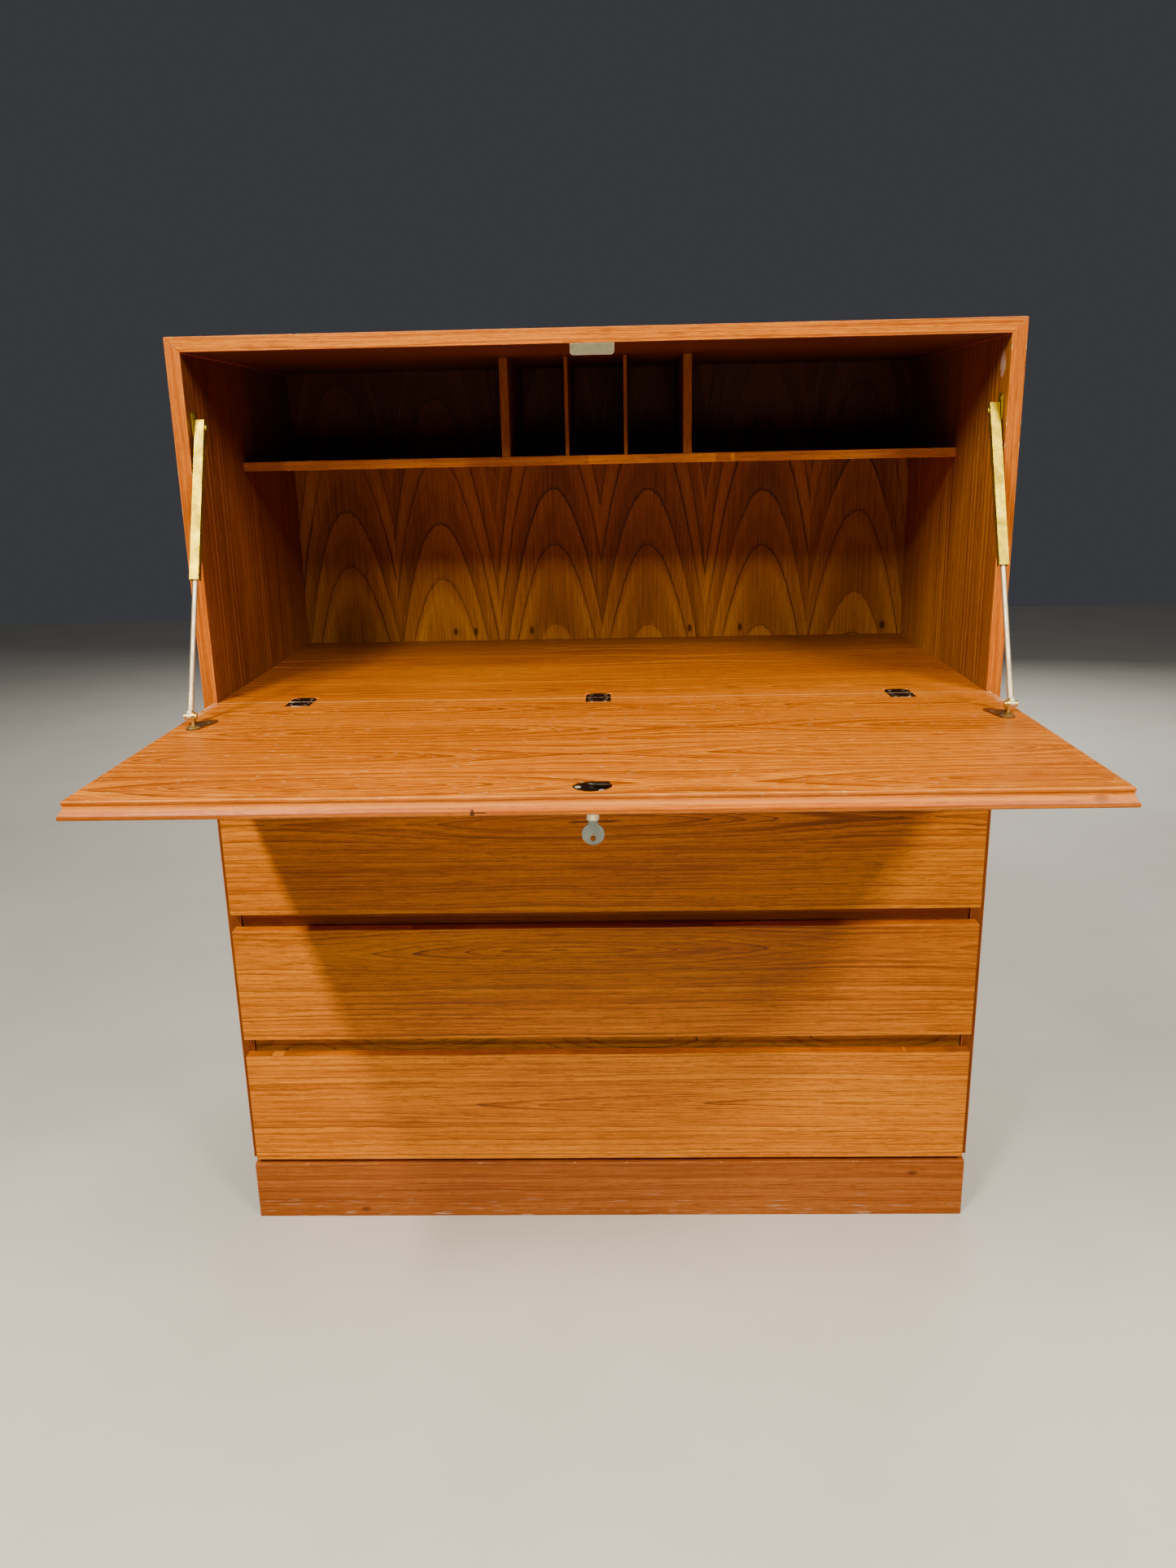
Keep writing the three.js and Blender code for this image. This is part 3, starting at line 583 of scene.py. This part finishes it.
def build_pigeonholes():
    inner_edge = worn("worn_inner", "x", tinted(INNER_TEAK, 1.7))
    shelf = wood(
        "teak_shelf", "x", "y", tinted(INNER_TEAK, 1.75), rise=0.01, ring=0.004, line=0.4, seed=11.0,
    )
    eased("shelf", [shelf], inner_edge, ease=0.0005)
    divider = wood("teak_divider", "z", "y", INNER_TEAK, rise=0.004, ring=0.004, line=0.4, seed=12.0)
    divider_edge = worn("worn_divider", "z", tinted(INNER_TEAK, 1.4))
    for side_name in ("left", "right"):
        for row in ("outer", "inner"):
            eased("divider_%s_%s" % (row, side_name), [divider], divider_edge, ease=0.0004)


def build_rails():
    looks = {
        1: dict(tones=INNER_TEAK, rise=0.0, ring=0.003),
        2: dict(tones=tinted(RED_TEAK, 0.8), rise=0.0, ring=0.003),
        3: dict(tones=RAIL_TEAK, rise=0.02, period=0.3, peak=0.05, spread=0.02, ring=0.012, line=1.0),
    }
    for number, look in looks.items():
        node = "drawer_frame_%d" % number
        lo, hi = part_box(node)
        heart = (lo.z + hi.z) / 2
        rail = wood("teak_rail_%d" % number, "x", "z", heart=heart, seed=13.0 + number, **look)
        eased(node, [rail], ease=0.0006)


def build_plinth():
    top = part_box("plinth_front")[1].z
    bruises = ((0.415, top * 0.78), (-0.335, top * 0.14))

    def scuffs(g, colour, rough):
        """Pale scuffs along the foot, and two small dark bruises."""
        low = g.band(g.z, 0.0, top * 0.55, 1.0, 0.0)
        mark = g.noise(g.vector(g.x * 24.0, 0.0, g.z * 380.0), 1.0, 2.0)
        pale = g.band(mark, 0.61, 0.68) * low
        colour = g.mix(pale * 0.75, colour, (0.62, 0.38, 0.22))
        for x, z in bruises:
            bruise = spot(g, {"x": x, "z": z}, {"x": 0.009, "z": 0.0045}, 0.9)
            colour = g.mix(bruise * 0.7, colour, PLINTH_TEAK[0])
        return colour, rough

    look = dict(tones=PLINTH_TEAK, rise=0.0, ring=0.006, line=0.35, gloss=0.45, heart=0.1)
    level = wood("teak_plinth", "x", "z", seed=20.0, details=scuffs, **look)
    sideways = wood("teak_plinth_side", "y", "z", seed=21.0, **look)
    level_edge = worn("worn_plinth", "x", PLINTH_TEAK)
    for node in ("plinth_front", "plinth_back"):
        eased(node, [level], level_edge)
    for node in ("plinth_left", "plinth_right"):
        eased(node, [sideways], worn("worn_" + node, "y", PLINTH_TEAK))


def build_lid():
    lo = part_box("lid_edge_front")[0]
    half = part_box("lid_edge_right")[1].x

    def wear_and_painted_highlights(g, colour, rough):
        """Rubbed back corners, painted highlights along the two arrises, nicks, and pale smears near
        the front edge.
        """
        rim = g.band(abs(g.x), half - 0.016, half - 0.005)
        inner_face = g.band(g.z, DESK - 0.004, DESK - 0.002)
        corner = rim * g.band(g.y, JOINT_Y - 0.095, JOINT_Y - 0.060) * inner_face
        crumbs = g.band(g.noise(g.coordinates, 90.0, 3.0, 0.6), 0.40, 0.56)
        colour = g.mix(corner * crumbs * 0.75, colour, (0.90, 0.55, 0.34))
        # painted highlight along the arris by the joint
        joint_highlight = g.band(g.y, JOINT_Y - 0.0030, JOINT_Y - 0.0018, 0.0, 0.65)
        colour = g.mix(joint_highlight, colour, (0.95, 0.52, 0.16))
        # painted highlight along the top face's front arris
        front_highlight = g.band(g.y, lo.y + 0.0050, lo.y + 0.0062, 0.75, 0.0)
        colour = g.mix(front_highlight * inner_face, colour, (1.0, 0.56, 0.20))
        nicks = g.band(g.noise(g.vector(g.x * 70.0, g.y * 330.0, 5.0), 1.0, 1.0), 0.715, 0.745)
        colour = g.mix(nicks * 0.6, colour, (0.95, 0.60, 0.28))
        smear = g.band(g.noise(g.vector(g.x * 16.0, g.y * 85.0, 2.0), 1.0, 3.0, 0.6), 0.56, 0.70)
        near_front = g.band(g.y, lo.y + 0.02, lo.y + 0.09, 1.0, 0.0)
        return g.mix(smear * near_front * inner_face * 0.35, colour, (0.95, 0.45, 0.08)), rough

    def painted_moulding_light(g, colour, rough):
        """The moulding: painted shade along its two recesses, and painted highlights in bands below
        each, where the cove and the lower lip catch light.
        """
        # painted shade along the moulding's two recesses
        for drop, inner, outer in ((0.0030, 0.0005, 0.0016), (0.0136, 0.0004, 0.00128)):
            away = abs(g.z - (DESK - drop))
            colour = g.mix(g.band(away, inner, outer, 0.55, 0.0), colour, RED_TEAK[0])
        # painted highlights where the cove and the lower lip catch light
        for drop, inner, outer in ((0.0075, 0.00078, 0.0026), (0.0170, 0.00036, 0.0012)):
            away = abs(g.z - (DESK - drop))
            colour = g.mix(g.band(away, inner, outer, 0.30, 0.0), colour, (1.0, 0.45, 0.12))
        return colour, rough

    def chipped(g, colour, rough):
        """The moulding's painted shade and highlights, a small chip in the lower lip, and a dark knot
        near the right end.
        """
        colour, rough = painted_moulding_light(g, colour, rough)
        chip = spot(g, {"x": -0.1065, "z": lo.z + 0.0018}, {"x": 0.0022, "z": 0.0046}, 0.3)
        crack = spot(g, {"x": -0.100, "z": lo.z + 0.0030}, {"x": 0.0075, "z": 0.0008}, 0.5)
        knot = spot(g, {"x": 0.448, "z": DESK - 0.009}, {"x": 0.009, "z": 0.0045}, 0.9)
        colour = g.mix(g.math("MAXIMUM", chip, crack) * 0.9, colour, (0.05, 0.008, 0.001))
        return g.mix(knot * 0.6, colour, (0.20, 0.03, 0.006)), rough

    def edging_faces(normal, centre):
        """The moulding's flat upper and lower faces carry the panel's veneer on."""
        return 1 if abs(normal.z) > 0.99 else 0

    panel = wood(
        "teak_lid", "x", "y", leaf=0.108, heart=JOINT_Y - 0.058, peak=-0.26, rise=0.026, line=0.9,
        seed=0.4, bands=0.36, dashes=0.85, details=wear_and_painted_highlights,
    )
    eased("lid_panel", [panel], ease=0.0002, swell=EDGING_SWELL)
    look = dict(tones=RED_TEAK, rise=0.0, ring=0.0028, line=0.4, gloss=0.33)
    level = wood("teak_lid_edge", "x", "z", seed=30.0, details=chipped, **look)
    sideways = wood("teak_lid_edge_side", "y", "z", seed=31.0, details=painted_moulding_light, **look)
    shape = dict(ease=0.0006, sort=edging_faces, sharp=35, swell=EDGING_SWELL)
    eased("lid_edge_front", [level, panel], worn("worn_lid", "x", ORANGE_TEAK), **shape)
    for node in ("lid_edge_left", "lid_edge_right"):
        eased(node, [sideways, panel], worn("worn_" + node, "y", RED_TEAK), **shape)


def build_drawers():
    # Where each front's figure runs: its heart below the front's top, and the pointed arches' places.
    figures = {
        1: (0.040, dict(peak=0.10, period=0.80, rise=0.012, seed=40.0)),
        2: (0.036, dict(peak=-0.01, period=0.82, rise=0.013, seed=41.0)),
        3: (0.032, dict(peak=-0.042, period=0.755, rise=0.014, seed=42.5)),
        4: (0.075, dict(peak=0.42, period=1.7, rise=0.014, seed=43.0)),
    }
    plain = dict(tones=PALE_WOOD, gloss=0.55, dashes=0.2)
    upright = dict(rise=0.004, ring=0.004, line=0.3, **plain)
    lining = wood("drawer_lining", "y", "z", seed=50.0, **upright)
    lining_back = wood("drawer_lining_back", "x", "z", seed=51.0, **upright)
    lining_bottom = wood(
        "drawer_lining_bottom", "x", "y", rise=0.02, ring=0.008, line=0.4, seed=52.0, **plain,
    )
    level_edge = worn("worn_front", "x", ORANGE_TEAK)
    for number, (heart_depth, figure) in figures.items():
        name = "drawer_%d_" % number
        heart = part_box(name + "front")[1].z - heart_depth
        front = wood(
            "teak_front_%d" % number, "x", "z", FRONT_TEAK, heart=heart, spread=0.022, ring=0.0058,
            line=0.85, wander=0.0030, bands=0.12, **figure,
        )
        eased(name + "front", [front], level_edge, ease=0.0005, sharp=60)
        for side in ("side_left", "side_right"):
            eased(name + side, [lining], ease=0.0005)
        eased(name + "back", [lining_back], ease=0.0005)
        eased(name + "bottom", [lining_bottom], ease=0.0003)


# ---------------------------------------------------------------- metal pieces
# Each metal's clean colour, dulled colour, spots, roughness and brushing direction.
BRASS = metal("brass", (0.56, 0.43, 0.006), (0.42, 0.29, 0.005), (0.12, 0.06, 0.01), 0.42)
BRONZE = metal("bronze", (0.070, 0.040, 0.024), (0.035, 0.022, 0.014), (0.018, 0.011, 0.007), 0.46, "x")
BRONZE_BRIGHT = metal(
    "bronze_rubbed", (0.46, 0.34, 0.22), (0.26, 0.18, 0.11), (0.08, 0.05, 0.03), 0.34, "x",
)
OLD_BRASS = metal("old_brass", (0.34, 0.25, 0.11), (0.21, 0.15, 0.06), (0.12, 0.07, 0.03), 0.34, "y")
BRASS_RUBBED = metal(
    "brass_rubbed", (0.92, 0.68, 0.17), (0.70, 0.48, 0.12), (0.30, 0.20, 0.08), 0.30, "y",
)
NICKEL = metal("nickel", (0.92, 0.83, 0.58), (0.72, 0.64, 0.42), (0.24, 0.20, 0.14), 0.48)
STRIKE = metal("strike_nickel", (0.30, 0.28, 0.17), (0.20, 0.18, 0.11), (0.12, 0.10, 0.06), 0.42, "x")
KEY_STEEL = metal("key_steel", (0.19, 0.205, 0.18), (0.14, 0.15, 0.13), (0.12, 0.12, 0.10), 0.42, "x")
CAM_STEEL = metal("cam_steel", (0.13, 0.105, 0.08), (0.08, 0.065, 0.05), (0.05, 0.04, 0.03), 0.40, "x")
SCREW_STEEL = metal("screw_steel", (0.95, 0.88, 0.72), (0.78, 0.70, 0.55), (0.3, 0.25, 0.2), 0.55, "x")

UP = (0, 0, 1)
METAL_STEP = 0.004  # metal faces are told apart by lying this far above or below the desk's surface


def build_hinges():
    """The flap hinges' leaves, each with two screws and two ears that reach towards the joint."""
    screw_apart, screw_away = 0.0085, 0.017  # from the leaf's middle and from the joint
    ear_apart, ear_half, ear_near, ear_far = 0.0105, 0.0011, 0.0012, 0.010
    ear_sunk, ear_proud = 0.0006, 0.0002
    for place in ("left", "centre", "right"):
        for part, body, side in (("desk", "case", 1), ("lid", "lid", -1)):
            node = "hinge_leaf_%s_%s" % (part, place)
            eased(node, [BRONZE], BRONZE_BRIGHT, ease=0.0004)
            lo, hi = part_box(node)
            middle = (lo.x + hi.x) / 2
            for i, x in enumerate((middle - screw_apart, middle + screw_apart)):
                at = (x, JOINT_Y + side * screw_away, hi.z - 0.0001)
                turn = 0.5 + 1.1 * i + side
                name = "%s_screw_%d" % (node, i + 1)
                screw(name, at, UP, turn, body, "bronze", BRONZE_BRIGHT, radius=0.0032, dome=0.0006)
            near, far = sorted((JOINT_Y + side * ear_near, JOINT_Y + side * ear_far))
            for i, x in enumerate((middle - ear_apart, middle + ear_apart)):
                name = "%s_ear_%d" % (node, i + 1)
                low_corner = (x - ear_half, near, hi.z - ear_sunk)
                high_corner = (x + ear_half, far, hi.z + ear_proud)
                ear = block(name, low_corner, high_corner, ease=0.0003)
                link(name, ear, body, "bronze", BRONZE_BRIGHT)


def build_stays():
    bracket_foot = 0.0017  # how thick the lid bracket's foot is
    bracket_screws = ((0.0075, 0.033), (0.0125, 0.012))  # from its inner edge and its front

    def bracket_faces(normal, centre):
        return 1 if centre.z > DESK + METAL_STEP else 0

    for side, sign in (("left", -1), ("right", 1)):
        eased("stay_channel_" + side, [BRASS], BRASS, ease=0.0003)
        eased("stay_rod_" + side, [NICKEL], NICKEL, ease=0.0003, sharp=40)
        eased("stay_plate_" + side, [BRASS], BRASS, ease=0.0004)
        eased(
            "stay_bracket_" + side, [OLD_BRASS, BRASS_RUBBED], BRASS_RUBBED, ease=0.0005,
            sort=bracket_faces,
        )
        lo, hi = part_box("stay_plate_" + side)
        face = lo.x if sign > 0 else hi.x
        at = (face, (lo.y + hi.y) / 2, hi.z - 0.007)
        name = "stay_plate_screw_" + side
        inwards = (-sign, 0, 0)
        screw(name, at, inwards, 0.7, "case", "brass", BRASS, radius=0.0034, dome=0.0010)
        lo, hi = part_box("stay_bracket_" + side)
        inner = lo.x if sign > 0 else hi.x
        for i, (dx, dy) in enumerate(bracket_screws):
            at = (inner + sign * dx, lo.y + dy, lo.z + bracket_foot)
            name = "bracket_screw_%s_%d" % (side, i + 1)
            screw(name, at, UP, 0.9 + i, "lid", "bronze", BRONZE_BRIGHT, radius=0.0030, dome=0.0007)


def build_lock():
    lock_screws = ((-0.013, 0.0), (0.008, 0.0125), (0.009, -0.0125))  # from the plate's centre

    def lock_faces(normal, centre):
        return 1 if centre.z < DESK - METAL_STEP else 0

    eased("lock_case", [BRONZE, NICKEL], BRONZE_BRIGHT, ease=0.0003, sort=lock_faces)
    eased("lock_cam", [CAM_STEEL], SCREW_STEEL, ease=0.0005)
    eased("key", [KEY_STEEL], KEY_STEEL, ease=0.0003)
    eased("strike_plate", [STRIKE], NICKEL, ease=0.0003)
    lo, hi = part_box("lock_case")
    centre = Vector(((lo.x + hi.x) / 2, (lo.y + hi.y) / 2, hi.z))
    for i, (dx, dy) in enumerate(lock_screws):
        at = centre + Vector((dx, dy, 0))
        name = "lock_screw_%d" % (i + 1)
        screw(name, at, UP, 0.4 + i, "lid", "brass", SCREW_STEEL, radius=0.0030, dome=0.0009)


# ---------------------------------------------------------------- stage, light and camera
def stage():
    g = Graph("floor")
    mottle = g.noise(g.coordinates, 3.0, 5.0, 0.6)
    g.finish(g.mix(mottle, (0.66, 0.64, 0.57), (0.84, 0.82, 0.75)), 0.75)
    mesh = bpy.data.meshes.new("floor")
    reach = 6.0
    corners = [(-reach, -reach, 0), (reach, -reach, 0), (reach, reach, 0), (-reach, reach, 0)]
    mesh.from_pydata(corners, [], [(0, 1, 2, 3)])
    mesh.materials.append(g.material)
    floor = bpy.data.objects.new("floor", mesh)
    bpy.context.scene.collection.objects.link(floor)
    # The bounce lamp under the floor stands for the light that the floor throws back.
    floor.visible_diffuse = False
    floor.visible_shadow = False
    world = bpy.data.worlds.new("studio")
    world.use_nodes = True
    background = world.node_tree.nodes["Background"]
    background.inputs["Color"].default_value = (0.044, 0.046, 0.052, 1.0)
    background.inputs["Strength"].default_value = 1.0
    bpy.context.scene.world = world


def area_light(name, place, target, size, power, colour, mirrored=True):
    """A rectangular lamp; size is its width and height, and the width lies level."""
    light = bpy.data.lights.new(name, "AREA")
    light.shape = "RECTANGLE"
    light.size, light.size_y = size
    light.energy = power
    light.color = colour
    lamp = bpy.data.objects.new(name, light)
    lamp.location = place
    lamp.visible_glossy = mirrored
    lamp.rotation_euler = (Vector(target) - Vector(place)).to_track_quat("-Z", "Y").to_euler()
    bpy.context.scene.collection.objects.link(lamp)


def lights():
    """Two warm key lamps above the front, a low fill, the floor's bounce, and a fill for the back."""
    warm = (1.0, 0.90, 0.76)
    area_light("key_left", (-1.05, -1.75, 2.45), (0.25, -1.75, 0.0), (1.5, 0.12), 118.0, warm)
    area_light("key_right", (1.45, -1.85, 2.55), (0.10, -1.85, 0.0), (1.5, 0.40), 97.0, warm)
    soft, floor_tint, pale = (1.0, 0.93, 0.84), (1.0, 0.92, 0.82), (1.0, 0.95, 0.88)
    area_light("fill_front", (0.2, -3.2, 0.38), (0.0, 0.0, 0.35), (1.4, 0.6), 10.0, soft)
    area_light("bounce", (0.0, -1.25, -0.40), (0.0, 0.0, 0.04), (1.6, 0.5), 7.2, floor_tint)
    area_light("fill_back", (0.6, 3.4, 2.2), (0.0, 0.0, 0.6), (3.0, 1.2), 110.0, pale, False)


def camera():
    """The photograph's viewing angle, fitted to the case's straight edges."""
    lens = 27.28
    pitch, roll, yaw = (math.radians(a) for a in (-15.98, 1.23, 1.66))
    aside, before, above = 0.0264, 1.4335, 0.2999  # from the case's middle, its front and the desk
    data = bpy.data.cameras.new("camera")
    data.sensor_fit = "AUTO"
    data.sensor_width = 36.0
    data.lens = lens
    view = bpy.data.objects.new("camera", data)
    turn = Matrix.Rotation(yaw, 4, "Z") @ Matrix.Rotation(pitch, 4, "X") @ Matrix.Rotation(roll, 4, "Y")
    place = Vector((aside, FRONT_Y - before, DESK + above))
    view.matrix_world = Matrix.Translation(place) @ turn @ Matrix.Rotation(math.pi / 2, 4, "X")
    bpy.context.scene.collection.objects.link(view)
    bpy.context.scene.camera = view


camera()
stage()
lights()
build_case()
build_plinth()
build_lid()
build_drawers()
build_hinges()
build_stays()
build_lock()
